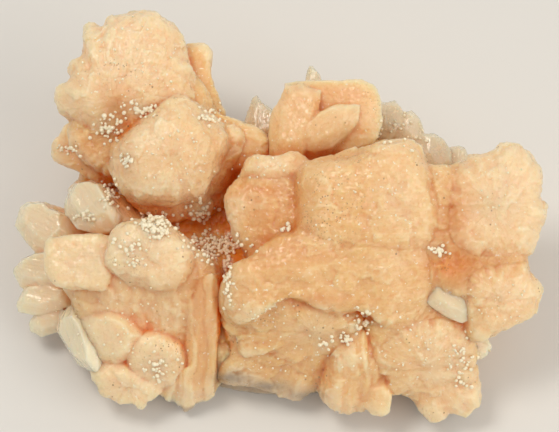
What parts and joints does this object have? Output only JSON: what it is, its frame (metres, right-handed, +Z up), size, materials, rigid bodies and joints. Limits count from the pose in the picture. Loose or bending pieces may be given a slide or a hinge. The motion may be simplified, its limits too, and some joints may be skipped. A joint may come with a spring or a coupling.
{
  "type": "stilbite cluster",
  "caption": "Cluster of stilbite: domed fans, sheaves and blades of peach crystals grown together, cut off flat below to rest on.",
  "frame": {"origin": "middle of the bounding box, on the flat cut that the cluster rests on", "axes": "+Z up from the flat cut, +X along the length to the right of a viewer on the -Y side, who sees the face in the picture"},
  "size_m": [0.1202, 0.0858, 0.0474],
  "materials": {
    "stilbite": "milky, slightly see-through peach crystal with a pearly gloss, orange in the deep gaps, nearly white at thin edges"
  },
  "bodies": {
    "root": {"stilbite_cluster": "stilbite"}
  },
  "joints": []
}
